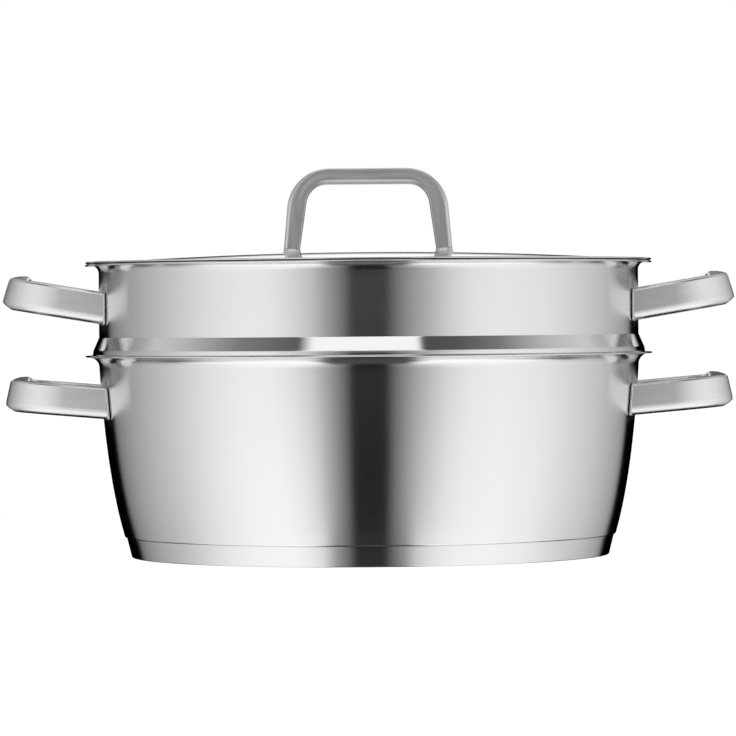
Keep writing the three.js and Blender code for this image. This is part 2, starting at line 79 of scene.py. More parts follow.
class Section:
    """Outlines of sheet and bar, as points [across, up] in millimetres."""

    BEND_STEP = 7.5  # the most that an arc turns from point to point
    LONGEST_STRAIGHT = 5.0  # the most between two points of a straight
    SHORT_STRAIGHT = 2.0  # a straight up to this long gets no more points
    STEADY = 0.5  # how far the first and last added points lie from a straight's ends
    ROLL_STEPS = 8  # steps round a rolled edge

    @staticmethod
    def arc(middle: Vector, radius: float, start: float, sweep: float) -> list[Vector]:
        """Points along an arc.

        Args:
            middle: The arc's centre.
            radius: Its radius.
            start: The angle it starts at.
            sweep: How far it turns, positive anticlockwise.

        Returns:
            The points, both ends included.
        """
        count = max(2, math.ceil(abs(sweep) / Section.BEND_STEP))
        turns = [math.radians(start + sweep * i / count) for i in range(count + 1)]
        return [middle + radius * Vector((math.cos(turn), math.sin(turn))) for turn in turns]

    @staticmethod
    def rounded(corners: Sequence[tuple[float, ...]]) -> list[Vector]:
        """A path through corners, with an arc at each one that has a rounding.

        Args:
            corners: Each is [across, up] or [across, up, rounding].

        Returns:
            The points of the path.
        """
        places = [Vector(corner[:2]) for corner in corners]
        points = [places[0]]
        for i in range(1, len(places)):
            rounding = corners[i][2] if len(corners[i]) > 2 else 0.0
            if rounding == 0.0:
                points.append(places[i])
                continue
            back = (places[i - 1] - places[i]).normalized()
            ahead = (places[i + 1] - places[i]).normalized()
            half = back.angle(ahead) / 2
            middle = places[i] + (back + ahead).normalized() * (rounding / math.sin(half))
            first = places[i] + back * (rounding / math.tan(half)) - middle
            sweep = 180.0 - 2 * math.degrees(half)
            turn = math.copysign(sweep, back.x * ahead.y - back.y * ahead.x) * -1
            points += Section.arc(middle, rounding, math.degrees(math.atan2(first.y, first.x)), turn)
        return points

    @staticmethod
    def oblong(across: float, up: float, rounding: float) -> list[Vector]:
        """The closed outline of an oblong with round corners, about its middle.

        Args:
            across: Half its width.
            up: Half its height.
            rounding: The radius of its corners.

        Returns:
            The outline, which comes back to where it started.
        """
        corners = ((across, -up), (across, up), (-across, up), (-across, -up))
        return Section.rounded([(0.0, -up), *((*corner, rounding) for corner in corners), (0.0, -up)])

    @staticmethod
    def curve(start: Vector, pull: Vector, end: Vector, count: int) -> list[Vector]:
        """Points of a curve that leaves one point and reaches another along the lines to a third.

        Args:
            start: Where the curve starts.
            pull: The point it bends towards.
            end: Where it ends.
            count: How many steps it has.

        Returns:
            The points, both ends included.
        """
        shares = [i / count for i in range(count + 1)]
        return [start * (1 - t) ** 2 + pull * (2 * t * (1 - t)) + end * t**2 for t in shares]

    @staticmethod
    def steadied(points: Sequence[Vector]) -> list[Vector]:
        """The points with more along each long straight, close to its ends, so that bends shade by themselves.

        Args:
            points: The points of an open path.

        Returns:
            The same path with the points that were added.
        """
        result = [points[0]]
        for here, there in pairwise(points):
            length = (there - here).length
            if length < SAME_PLACE:
                continue
            if length > Section.SHORT_STRAIGHT:
                inner = length - 2 * Section.STEADY
                count = max(1, math.ceil(inner / Section.LONGEST_STRAIGHT))
                steps = [Section.STEADY + inner * i / count for i in range(count + 1)]
                result += [here.lerp(there, step / length) for step in steps]
            result.append(there)
        return result

    @staticmethod
    def rolled(near: Vector, far: Vector, along: Vector) -> list[Vector]:
        """The half round that ends a sheet, from one skin to the other.

        Args:
            near: Where one skin ends.
            far: Where the other skin ends.
            along: The way the sheet runs out.

        Returns:
            The points between the two skins.
        """
        middle, side = (near + far) / 2, (near - far) / 2
        out = along.normalized() * side.length
        turns = [math.radians(180.0 * i / Section.ROLL_STEPS) for i in range(1, Section.ROLL_STEPS)]
        return [middle + side * math.cos(turn) + out * math.sin(turn) for turn in turns]

    @staticmethod
    def sheet(skin: Sequence[Vector], gauge: float) -> list[Vector]:
        """The closed outline of a sheet with rolled edges, from one skin and the gauge that lies to its left.

        Args:
            skin: The points of one skin.
            gauge: The sheet's thickness.

        Returns:
            The outline, which starts and ends on the axis or comes back to where it started.
        """
        skin = Section.steadied(skin)
        far = []
        for i, point in enumerate(skin):
            before = (skin[max(i, 1)] - skin[max(i - 1, 0)]).normalized()
            after = (skin[min(i + 1, len(skin) - 1)] - skin[min(i, len(skin) - 2)]).normalized()
            mitre = (before + after) / (1 + before.dot(after))
            far.append(point + gauge * Vector((-mitre.y, mitre.x)))
        outline = [*skin, *Section.rolled(skin[-1], far[-1], skin[-1] - skin[-2])]
        if skin[0].x < SAME_PLACE:
            far[0].x = 0.0
            return [*outline, *reversed(far)]
        return [*outline, *reversed(far), *Section.rolled(far[0], skin[0], skin[0] - skin[1]), skin[0]]


class Bench:
    """Blender's modelling operators, with the selection that each of them needs."""

    RIDGE = 40.0  # the least angle between the faces at a ridge
    SHARP = 60.0  # the least angle between the faces at a sharp edge
    ON_PLANE = SAME_PLACE / 10  # how near a vertex lies to a cut that goes through it

    @staticmethod
    def clear() -> None:
        """Leaves edit mode and deselects every object."""
        if bpy.context.object is not None and bpy.context.object.mode != "OBJECT":
            bpy.ops.object.mode_set(mode="OBJECT")
        bpy.ops.object.select_all(action="DESELECT")

    @staticmethod
    def take(piece: bpy.types.Object) -> None:
        """Makes one object the selected and active one.

        Args:
            piece: The object.
        """
        Bench.clear()
        piece.select_set(True)
        bpy.context.view_layer.objects.active = piece

    @staticmethod
    def edit() -> None:
        """Opens the active object in edit mode, with all of it selected."""
        bpy.ops.object.mode_set(mode="EDIT")
        bpy.ops.mesh.select_all(action="SELECT")

    @staticmethod
    def done() -> None:
        """Leaves edit mode."""
        bpy.ops.object.mode_set(mode="OBJECT")

    @staticmethod
    def named(name: str) -> bpy.types.Object:
        """The active object, once it and its data have a name.

        Args:
            name: The name.

        Returns:
            The object.
        """
        made = bpy.context.object
        made.name = made.data.name = name
        return made

    @staticmethod
    def thread(name: str, points: Sequence[Vector]) -> bpy.types.Object:
        """A line of edges, drawn out from a single vertex. It is left in edit mode.

        Args:
            name: The new object's name.
            points: The places to draw through, in millimetres.

        Returns:
            The new object, at the origin.
        """
        Bench.clear()
        bpy.ops.mesh.primitive_plane_add(size=MM)
        piece = Bench.named(name)
        Bench.edit()
        bpy.ops.mesh.merge(type="CENTER")
        bpy.ops.transform.translate(value=points[0] * MM)
        for here, there in pairwise(points):
            bpy.ops.mesh.extrude_region_move(TRANSFORM_OT_translate={"value": (there - here) * MM})
        return piece

    @staticmethod
    def settle() -> None:
        """Merges doubled vertices of the mesh in edit mode and points its faces outwards."""
        bpy.ops.mesh.select_all(action="SELECT")
        bpy.ops.mesh.remove_doubles(threshold=SAME_PLACE)
        bpy.ops.mesh.normals_make_consistent(inside=False)

    @staticmethod
    def smooth(piece: bpy.types.Object, flats: bool = True) -> None:
        """Shades an object smooth, but for its sharp edges.

        Args:
            piece: The object.
            flats: Whether its large faces keep the shading of a flat.
        """
        Bench.take(piece)
        bpy.ops.object.shade_smooth_by_angle(angle=math.radians(SMOOTH_ANGLE))
        if flats:
            Bench.modify(piece, "WEIGHTED_NORMAL", keep_sharp=True)

    @staticmethod
    def turned(name: str, outline: Sequence[Vector]) -> bpy.types.Object:
        """A closed outline [radius, height] spun about Z.

        Args:
            name: The new object's name.
            outline: The outline, in millimetres.

        Returns:
            The finished object.
        """
        piece = Bench.thread(name, [Vector((point.x, 0.0, point.y)) for point in outline])
        bpy.ops.mesh.select_all(action="SELECT")
        bpy.ops.mesh.spin(steps=SPIN_STEPS, angle=2 * math.pi, center=(0, 0, 0), axis=(0, 0, 1))
        Bench.settle()
        Bench.smooth(piece, flats=False)
        return piece

    @staticmethod
    def plate(name: str, outline: Sequence[Vector], depth: Vector) -> bpy.types.Object:
        """A flat closed outline drawn out to a thickness. It is left in edit mode.

        Args:
            name: The new object's name.
            outline: The outline's places, in millimetres, the first one repeated at the end.
            depth: Which way and how far it is drawn out.

        Returns:
            The new object.
        """
        piece = Bench.thread(name, outline)
        bpy.ops.mesh.select_all(action="SELECT")
        bpy.ops.mesh.remove_doubles(threshold=SAME_PLACE)
        bpy.ops.mesh.edge_face_add()
        bpy.ops.mesh.extrude_region_move(TRANSFORM_OT_translate={"value": depth * MM})
        Bench.settle()
        return piece

    @staticmethod
    def pick(test: Callable[[Vector], bool]) -> None:
        """Selects vertices of the mesh in edit mode by their place.

        Args:
            test: Takes a vertex's place, in millimetres.
        """
        mesh = bmesh.from_edit_mesh(bpy.context.object.data)
        bpy.ops.mesh.select_all(action="DESELECT")
        for vertex in mesh.verts:
            vertex.select_set(test(vertex.co / MM))
        mesh.select_flush(True)
        bmesh.update_edit_mesh(bpy.context.object.data)

    @staticmethod
    def ridges(mesh: bmesh.types.BMesh) -> list[tuple[bmesh.types.BMEdge, Vector]]:
        """The ridges of a mesh, each with its middle in millimetres."""
        sharp = [edge for edge in mesh.edges if edge.calc_face_angle(0.0) > math.radians(Bench.RIDGE)]
        return [(edge, (edge.verts[0].co + edge.verts[1].co) / (2 * MM)) for edge in sharp]

    @staticmethod
    def round_ridges(width: float, segments: int, test: Callable[[Vector], bool]) -> None:
        """Rounds those ridges of the mesh in edit mode whose middle passes a test.

        Args:
            width: The rounding, in millimetres.
            segments: How many faces it has across.
            test: Takes the middle of an edge, in millimetres.
        """
        mesh = bmesh.from_edit_mesh(bpy.context.object.data)
        bpy.ops.mesh.select_all(action="DESELECT")
        for edge, middle in Bench.ridges(mesh):
            edge.select_set(test(middle))
        bmesh.update_edit_mesh(bpy.context.object.data)
        bpy.ops.mesh.bevel(offset=width * MM, segments=segments, affect="EDGES", clamp_overlap=False)

    @staticmethod
    def cut(place: Vector, normal: Vector, drop: Drop, fill: bool = True) -> None:
        """Cuts what is selected of the mesh in edit mode along a plane.

        Args:
            place: A point of the plane, in millimetres.
            normal: The plane's normal.
            drop: Which side goes.
            fill: Whether the cut is closed by a face.
        """
        bpy.ops.mesh.bisect(
            plane_co=place * MM,
            plane_no=normal.normalized(),
            use_fill=fill and drop is not Drop.NOTHING,
            clear_inner=drop is Drop.BEHIND,
            clear_outer=drop is Drop.AHEAD,
            threshold=Bench.ON_PLANE,
        )

    @staticmethod
    def modify(piece: bpy.types.Object, kind: str, **settings: object) -> None:
        """Adds a modifier to an object, sets it and applies it.

        Args:
            piece: The object.
            kind: The modifier's type.
            **settings: The modifier's own settings.
        """
        Bench.take(piece)
        bpy.ops.object.modifier_add(type=kind)
        modifier = piece.modifiers[-1]
        for name, value in settings.items():
            setattr(modifier, name, value)
        bpy.ops.object.modifier_apply(modifier=modifier.name)

    @staticmethod
    def round_edges(piece: bpy.types.Object, width: float, segments: int) -> None:
        """Rounds the sharp edges of an object.

        Args:
            piece: The object.
            width: The rounding, in millimetres.
            segments: How many faces it has across.
        """
        Bench.modify(
            piece, "BEVEL", width=width * MM, segments=segments, limit_method="ANGLE",
            angle_limit=math.radians(Bench.SHARP), use_clamp_overlap=False,
        )

    @staticmethod
    def round_edges_by(piece: bpy.types.Object, segments: int, rounding: Callable[[Vector], float]) -> None:
        """Rounds the ridges of an object by an amount that changes along them.

        Args:
            piece: The object.
            segments: How many faces a rounding has across.
            rounding: The rounding at the middle of an edge, both in millimetres.
        """
        Bench.take(piece)
        Bench.edit()
        mesh = bmesh.from_edit_mesh(piece.data)
        weight = mesh.edges.layers.float.new("bevel_weight_edge")
        ridges = Bench.ridges(mesh)
        widths = [rounding(middle) for _, middle in ridges]
        for (edge, _), width in zip(ridges, widths):
            edge[weight] = width / max(widths)
        bmesh.update_edit_mesh(piece.data)
        Bench.modify(
            piece, "BEVEL", width=max(widths) * MM, segments=segments, limit_method="WEIGHT", use_clamp_overlap=False,
        )

    @staticmethod
    def place(piece: bpy.types.Object, place: Vector, turn: tuple[float, float, float]) -> None:
        """Moves an object to its place and leaves that place in its mesh.

        Args:
            piece: The object.
            place: Where its origin goes, in millimetres.
            turn: Its rotation about X, Y and Z.
        """
        Bench.take(piece)
        piece.location = place * MM
        piece.rotation_euler = [math.radians(angle) for angle in turn]
        bpy.ops.object.transform_apply(location=True, rotation=True, scale=True)

    @staticmethod
    def copied(piece: bpy.types.Object, name: str, turn: float) -> bpy.types.Object:
        """A copy of an object with its own mesh, turned about Z.

        Args:
            piece: The object to copy.
            name: The copy's name.
            turn: How far the copy is turned.

        Returns:
            The copy.
        """
        Bench.take(piece)
        bpy.ops.object.duplicate(linked=False)
        twin = Bench.named(name)
        Bench.place(twin, Vector((0.0, 0.0, 0.0)), (0.0, 0.0, turn))
        return twin


class Wire:
    """A value on its way through a material, with the arithmetic that the finishes use."""

    def __init__(self, graph: Graph, socket: bpy.types.NodeSocket) -> None:
        """Holds an output socket and the graph that it belongs to."""
        self.graph = graph
        self.socket = socket

    def _math(self, operation: str, *values: Wire | float) -> Wire:
        """A Math node on values.

        Args:
            operation: The node's operation.
            *values: Its inputs, in order.

        Returns:
            The node's result.
        """
        made = self.graph.node("ShaderNodeMath", {"operation": operation}, dict(enumerate(values)))
        return self.graph.wire(made)

    def __add__(self, other: Wire | float) -> Wire:
        """This value plus another."""
        return self._math("ADD", self, other)

    def __radd__(self, other: float) -> Wire:
        """A number plus this value."""
        return self._math("ADD", other, self)

    def __sub__(self, other: Wire | float) -> Wire:
        """This value less another."""
        return self._math("SUBTRACT", self, other)

    def __rsub__(self, other: float) -> Wire:
        """A number less this value."""
        return self._math("SUBTRACT", other, self)

    def __mul__(self, other: Wire | float) -> Wire:
        """This value times another."""
        return self._math("MULTIPLY", self, other)

    def __rmul__(self, other: float) -> Wire:
        """A number times this value."""
        return self._math("MULTIPLY", other, self)

    def __truediv__(self, other: Wire | float) -> Wire:
        """This value divided by another."""
        return self._math("DIVIDE", self, other)

    def __rtruediv__(self, other: float) -> Wire:
        """A number divided by this value."""
        return self._math("DIVIDE", other, self)

    def size(self) -> Wire:
        """The value without its sign."""
        return self._math("ABSOLUTE", self)

    def root(self) -> Wire:
        """The square root."""
        return self._math("SQRT", self)

    def past(self, bound: float) -> Wire:
        """How far the value lies past a bound, and 0 before it."""
        return self._math("MAXIMUM", self - bound, 0.0)

    def arcsine(self) -> Wire:
        """The angle with this sine, in degrees."""
        return self._math("ARCSINE", self) * math.degrees(1)

    def bearing(self, other: Wire) -> Wire:
        """The angle whose sine and cosine are in proportion to this value and another, in degrees."""
        return self._math("ARCTAN2", self, other) * math.degrees(1)

    def step(self, low: float, high: float) -> Wire:
        """A smooth rise from 0 to 1 as this value goes from one bound to another."""
        sockets = {"Value": self, "From Min": low, "From Max": high}
        return self.graph.wire(self.graph.node("ShaderNodeMapRange", {"interpolation_type": "SMOOTHSTEP"}, sockets))

    def reaches(self, bound: float, blur: float) -> Wire:
        """A smooth rise from 0 to 1 as this value passes a bound."""
        return self.step(bound - blur, bound + blur)

    def between(self, low: float, high: float, blur: float) -> Wire:
        """1 where this value lies between two bounds and 0 elsewhere, with soft edges."""
        return self.reaches(low, blur) * (1 - self.reaches(high, blur))

    def sway(self, share: float) -> Wire:
        """How far noise lies from its mean, times a share."""
        return (self - NOISE_MEAN) * share

    def mixed(self, other: Wire | float, share: Wire | float) -> Wire:
        """This value and a share of another in its place."""
        return self * (1 - share) + other * share


class Graph:
    """The nodes of one material or of the world."""

    NOISE_ROUGHNESS = 0.6
    RELIEF_STRENGTH = 0.2

    def __init__(self, tree: bpy.types.NodeTree) -> None:
        """Empties a node tree to build in."""
        self.tree = tree
        tree.nodes.clear()

    def node(
        self,
        kind: str,
        settings: Mapping[str, object] | None = None,
        sockets: Mapping[str | int, object] | None = None,
    ) -> bpy.types.Node:
        """Adds a node.

        Args:
            kind: The node's type.
            settings: Its own settings, set first. "stops" are a ramp's places and grey levels.
            sockets: Values or links for its inputs, by name or number.

        Returns:
            The node.
        """
        made = self.tree.nodes.new(kind)
        for name, value in (settings or {}).items():
            if name == "stops":
                self._set_stops(made.color_ramp, value)
            else:
                setattr(made, name, value)
        for name, value in (sockets or {}).items():
            if isinstance(value, Wire):
                self.tree.links.new(value.socket, made.inputs[name])
            else:
                made.inputs[name].default_value = value
        return made

    @staticmethod
    def _set_stops(ramp: bpy.types.ColorRamp, stops: Sequence[tuple[float, float]]) -> None:
        """Gives a ramp its stops.

        Args:
            ramp: The ramp.
            stops: Each is a place and a grey level.
        """
        while len(ramp.elements) < len(stops):
            ramp.elements.new(1.0)
        for element, (place, level) in zip(ramp.elements, stops):
            element.position = place
            element.color = (level, level, level, 1.0)

    def wire(self, node: bpy.types.Node, output: str | int = 0) -> Wire:
        """An output of a node as a value."""
        return Wire(self, node.outputs[output])

    def place(self) -> tuple[Wire, Wire, Wire]:
        """The point that is shaded.

        Returns:
            Its x, y and z in the object's own frame, in metres.
        """
        spot = self.wire(self.node("ShaderNodeTexCoord"), "Object")
        parts = self.node("ShaderNodeSeparateXYZ", None, {0: spot})
        return self.wire(parts, "X"), self.wire(parts, "Y"), self.wire(parts, "Z")

    def vector(self, x: Wire | float, y: Wire | float, z: Wire | float) -> Wire:
        """Three values as a vector."""
        return self.wire(self.node("ShaderNodeCombineXYZ", None, {0: x, 1: y, 2: z}))

    def noise(self, vector: Wire, detail: float) -> Wire:
        """Noise at a point that is already scaled."""
        sockets = {"Vector": vector, "Scale": 1.0, "Detail": detail, "Roughness": self.NOISE_ROUGHNESS}
        return self.wire(self.node("ShaderNodeTexNoise", {"noise_dimensions": "3D"}, sockets), 0)

    def spots(self, place: Sequence[Wire], size: float, detail: float) -> Wire:
        """Noise in spots that are about a given size across, in millimetres."""
        return self.noise(self.vector(*(part * (1 / (size * MM)) for part in place)), detail)

    def strokes(self, place: Sequence[Wire], size: tuple[float, float], detail: float) -> Wire:
        """Noise drawn out into strokes.

        Args:
            place: Two coordinates along which strokes end, and a third that goes from stroke to stroke.
            size: How long and how wide a stroke is, in millimetres.
            detail: How many finer layers the noise has.

        Returns:
            The noise.
        """
        along, over = (1 / (length * MM) for length in size)
        first, second, run = place
        return self.noise(self.vector(first * along, second * along, run * over), detail)

    def relief(self, height: Wire, depth: float) -> Wire:
        """The normal of a surface with a fine relief, whose depth is in millimetres."""
        sockets = {"Strength": self.RELIEF_STRENGTH, "Distance": depth * MM, "Height": height}
        return self.wire(self.node("ShaderNodeBump", None, sockets))

    def tone(self, share: Wire, dark: Sequence[float], light: Sequence[float]) -> Wire:
        """A colour between two, by a share."""
        sockets = {"Factor": share, 6: (*dark, 1.0), 7: (*light, 1.0)}
        return self.wire(self.node("ShaderNodeMix", {"data_type": "RGBA"}, sockets), 2)


class Finish:
    """What every finish has: a name, and a material that is made once and shared."""

    name: str

    def nodes(self, graph: Graph) -> bpy.types.Node:
        """Builds the finish's shader.

        Args:
            graph: The material's nodes.

        Returns:
            The shader node.
        """
        raise NotImplementedError

    def material(self) -> bpy.types.Material:
        """The finish as a material.

        Returns:
            The material, new or as it was made before.
        """
        made = bpy.data.materials.get(self.name)
        if made is None:
            made = bpy.data.materials.new(self.name)
            made.use_nodes = True
            graph = Graph(made.node_tree)
            shader = graph.wire(self.nodes(graph))
            graph.node("ShaderNodeOutputMaterial", None, {"Surface": shader})
        return made

    def dress(self, piece: bpy.types.Object) -> None:
        """Gives an object this finish and no other."""
        piece.data.materials.clear()
        piece.data.materials.append(self.material())


@dataclass(frozen=True)
class TurnedSteel(Finish):
    """Steel brushed round its axis: fine rings, broken into strokes, on a slightly clouded sheet."""

    name: str
    light: tuple[float, float, float] = (0.79, 0.79, 0.785)
    dark: tuple[float, float, float] = (0.74, 0.74, 0.735)
    roughness: float = 0.18
    anisotropy: float = 1.0
    rotation: float = 0.25
    stroke: float = 90.0
    ring: float = 0.35
    cloud: float = 70.0
    ring_share: float = 0.04
    cloud_share: float = 0.02
    depth: float = 0.004
    turning: float = 2.4
    turning_stroke: float = 360.0
    turning_share: float = 0.0
    polish: tuple[float, float] | None = None
    polish_blur: float = 0.3
    polish_roughness: float = 0.1

    def nodes(self, graph: Graph) -> bpy.types.Node:
        """Builds the brushed shader.

        Args:
            graph: The material's nodes.

        Returns:
            The shader node.
        """
        x, y, z = graph.place()
        run = (x * x + y * y).root() + z
        rings = graph.strokes((x, y, run), (self.stroke, self.ring), detail=2.0)
        if self.turning_share:
            wide = graph.strokes((x, y, run), (self.turning_stroke, self.turning), detail=1.0)
            rings = rings.mixed(wide, self.turning_share)
        clouds = graph.spots((x, y, z), self.cloud, detail=1.0)
        roughness = self.roughness + rings.sway(self.ring_share) + clouds.sway(self.cloud_share)
        if self.polish is not None:
            low, high = (height * MM for height in self.polish)
            roughness = roughness.mixed(self.polish_roughness, z.between(low, high, self.polish_blur * MM))
        return graph.node("ShaderNodeBsdfPrincipled", None, {
            "Base Color": graph.tone(rings, self.dark, self.light),
            "Metallic": 1.0,
            "Roughness": roughness,
            "Anisotropic": self.anisotropy,
            "Anisotropic Rotation": self.rotation,
            "Normal": graph.relief(rings, self.depth),
        })


class Bow(Enum):
    """How a cast bow is set: it lies level like a side handle, or stands like the arch of a lid."""

    LIES = "lies"
    STANDS = "stands"


@dataclass(frozen=True)
class CastSteel(Finish):
    """Satin cast steel: a fine grain, and strokes that follow a bow round the middle of its bend."""

    name: str
    light: tuple[float, float, float] = (0.8, 0.8, 0.795)
    dark: tuple[float, float, float] = (0.66, 0.66, 0.655)
    roughness: float = 0.3
    bow: Bow = Bow.LIES
    bend: tuple[float, float] = (0.0, 0.0)
    stroke: float = 26.0
    line: float = 0.45
    band: float = 2.6
    grain: float = 0.5
    band_share: float = 0.6
    stroke_share: float = 0.12
    grain_share: float = 0.08
    stroke_relief: float = 0.5
    depth: float = 0.01

    def nodes(self, graph: Graph) -> bpy.types.Node:
        """Builds the satin shader.

        Args:
            graph: The material's nodes.

        Returns:
            The shader node.
        """
        x, y, z = graph.place()
        grain = graph.spots((x, y, z), self.grain, detail=3.0)
        up, level = (z, y) if self.bow is Bow.STANDS else (y.size(), z)
        out, rise = (place.past(middle * MM) for place, middle in zip((x.size(), up), self.bend))
        run = (out * out + rise * rise).root() + level
        lines = graph.strokes((x, up, run), (self.stroke, self.line), detail=2.0)
        bands = graph.strokes((x, up, run), (self.stroke, self.band), detail=1.0)
        strokes = lines.mixed(bands, self.band_share)
        return graph.node("ShaderNodeBsdfPrincipled", None, {
            "Base Color": graph.tone(strokes, self.dark, self.light),
            "Metallic": 1.0,
            "Roughness": self.roughness + grain.sway(self.grain_share) + strokes.sway(self.stroke_share),
            "Normal": graph.relief(grain.mixed(strokes, self.stroke_relief), self.depth),
        })


@dataclass(frozen=True)
class Stock:
    """How a finished piece goes into the frame."""

    body: Body
    slot: str
    finish: Finish

    def fit(self, piece: bpy.types.Object, node: str) -> None:
        """Dresses a piece and puts it in the place of a node of the frame.

        Args:
            piece: The finished object.
            node: The node that it stands for.
        """
        self.finish.dress(piece)
        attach(piece, self.body.value)
        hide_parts(node)
        LOG.info("%s stands for %s, with %d faces", piece.name, node, len(piece.data.polygons))


@dataclass(frozen=True)
class Rim:
    """The pouring rim that both vessels have: the wall bends out to a lip that is flat, or curls on to its edge."""

    mouth: float = 140.3
    gauge: float = 0.8
    reach: float = 7.1
    flare: float = 5.5
    curls: bool = False
    curl_stop: float = 0.59

    @property
    def wall(self) -> float:
        """The outside radius of the wall."""
        return self.mouth + self.gauge

    def bend(self, top: float) -> Vector:
        """The middle of the bend under a rim at a given height."""
        return Vector((self.wall + self.flare, top - self.gauge - self.flare))

    def skin(self, top: float) -> list[Vector]:
        """The underside of a rim, from the wall to the lip's rolled edge.

        Args:
            top: The rim's height.

        Returns:
            The points of the underside.
        """
        if self.curls:
            past = math.degrees(math.asin((self.reach - self.curl_stop) / self.flare - 1))
            return Section.arc(self.bend(top), self.flare, 180.0, -90.0 - past)
        lip = Vector((self.wall + self.reach - self.gauge / 2, top - self.gauge))
        return [*Section.arc(self.bend(top), self.flare, 180.0, -90.0), lip]


@dataclass(frozen=True)
class Wall:
    """Where a side handle meets its vessel: the wall's radius and lean at a height."""

    radius: float
    lean: float
    height: float


@dataclass(frozen=True)
class SideHandle:
    """A cast bow handle on two welded saddles. Its own frame has X out from the wall and Z up."""

    rise: float = 9.5
    reach: float = 49.7
    height: float = 16.4
    root_width: float = 79.0
    end_width: float = 75.0
    arm: float = 8.4
    grip: float = 11.0
    outer_run: float = 32.0
    outer_sweep: float = 22.0
    outer_steps: int = 18
    inner_corner: float = 11.0
    edge: float = 1.6
    edge_steps: int = 4
    under_edge: float = 5.0
    under_edge_steps: int = 7
    crown: float = 1.9
    crown_length: float = 40.0
    crown_rows: int = 10
    crown_section: tuple[tuple[float, float], ...] = ((0.0, 0.85), (0.3, 1.0), (0.62, 0.75), (1.0, 0.0))
    lean: float = 2.2
    chamfer_run: float = 6.5
    chamfer_rise: float = 3.2
    chamfer_edge: float = 0.7
    chamfer_steps: int = 3
    pick_room: float = 1.0
    saddle: float = 1.0
    saddle_margin: float = 0.4
    saddle_round: float = 2.6
    saddle_edge: float = 0.4
    saddle_steps: int = 3
    seam: float = 0.3
    weld: float = 0.02

    @property
    def arm_middle(self) -> float:
        """How far the middle of an arm's root lies from the handle's middle."""
        return (self.root_width - self.arm) / 2

    def bend_middle(self, radius: float) -> tuple[float, float]:
        """The middle of the bow's inner bend, from the vessel's axis, for a wall of a given radius."""
        along = radius + self.reach - self.grip - self.inner_corner
        return along, self.end_width / 2 - self.arm - self.inner_corner

    def half_plan(self) -> list[Vector]:
        """The outline of one half of the bow, seen from above and run past its middle.

        Returns:
            The outline, which comes back to where it started.
        """
        inner = self.reach - self.grip
        past = -self.arm
        root = Vector((-self.height, self.root_width / 2))
        corner = Vector((self.reach, self.end_width / 2))
        along = corner.lerp(root, self.outer_run / (self.reach + self.height))
        bend = Section.curve(corner - Vector((0.0, self.outer_sweep)), corner, along, self.outer_steps)
        inside = Section.rounded([
            (root.x, root.y - self.arm),
            (inner, corner.y - self.arm, self.inner_corner),
            (inner, past),
        ])
        return [Vector((inner, past)), Vector((self.reach, past)), *bend, root, *inside]

    def build_bow(self, name: str, wall: Wall) -> bpy.types.Object:
        """The bow of the right-hand handle, in its place.

        Args:
            name: The object's name.
            wall: Where it meets the vessel.

        Returns:
            The object.
        """
        low = -self.height / 2
        outline = [Vector((point.x, point.y, low)) for point in self.half_plan()]
        bow = Bench.plate(name, outline, Vector((0.0, 0.0, self.height)))
        self._shape_half()
        Bench.modify(bow, "MIRROR", use_axis=(False, True, False), merge_threshold=SAME_PLACE)
        Bench.edit()
        Bench.round_ridges(self.under_edge, self.under_edge_steps, lambda p: p.z < 0 and self._is_outside(p))
        Bench.round_ridges(self.edge, self.edge_steps, lambda p: p.z > 0 or (p.z < 0 and not self._is_outside(p)))
        bpy.ops.mesh.select_all(action="SELECT")
        under = Vector((self.reach - self.chamfer_run, 0.0, low))
        Bench.cut(under, Vector((self.chamfer_rise, 0.0, -self.chamfer_run)), Drop.AHEAD)
        width, steps = self.chamfer_edge * MM, self.chamfer_steps
        bpy.ops.mesh.bevel(offset=width, segments=steps, affect="EDGES", clamp_overlap=False)
        Bench.done()
        Bench.place(bow, Vector((wall.radius, 0.0, wall.height)), (0.0, wall.lean - self.rise, 0.0))
        self._trim_roots(wall)
        Bench.smooth(bow)
        return bow

    def _is_outside(self, place: Vector) -> bool:
        """Whether a place lies on the outer side of the bow's middle line.

        Args:
            place: A place on the bow, in its own frame.

        Returns:
            True on the outer side.
        """
        across = abs(place.y)
        along_grip = place.x > self.reach - self.grip / 2
        along_arm = across > self.arm_middle - self.pick_room
        inside = Vector((self.reach - self.grip, self.end_width / 2 - self.arm))
        around = Vector((place.x, across)) - inside + Vector((self.inner_corner, self.inner_corner))
        middle = self.inner_corner + self.arm / 2
        return along_grip or along_arm or (around.x > 0 and around.y > 0 and around.length > middle)

    def _shape_half(self) -> None:
        """Halves the blank in edit mode, crowns its grip and leans the grip's face back."""
        middle, out = Vector((0.0, 1.0, 0.0)), Vector((1.0, 0.0, 0.0))
        half, top, inner = self.crown_length / 2, self.height / 2 - HAIR, self.reach - self.grip
        rows = [half * i / self.crown_rows for i in range(self.crown_rows + 1)]
        for row in rows:
            bpy.ops.mesh.select_all(action="SELECT")
            Bench.cut(middle * row, middle, Drop.NOTHING if row else Drop.BEHIND, fill=False)
        for share, _ in self.crown_section[1:-1]:
            Bench.pick(lambda p: p.y < half + HAIR and p.x > inner - self.pick_room)
            Bench.cut(out * (inner + share * self.grip), out, Drop.NOTHING)
        for row in rows:
            for share, rise in self.crown_section:
                swell = self.crown * rise * math.cos(math.pi * row / self.crown_length) ** 2
                line = inner + share * self.grip
                Bench.pick(lambda p: p.z > top and abs(p.x - line) < NEAR and abs(p.y - row) < HAIR)
                bpy.ops.transform.translate(value=(0.0, 0.0, swell * MM))
        pivot = inner - self.grip
        Bench.pick(lambda p: p.z > top and p.x > pivot)
        shrink = 1 - self.lean / (self.reach - pivot)
        bpy.ops.transform.resize(value=(shrink, 1.0, 1.0), center_override=(pivot * MM, 0.0, 0.0))

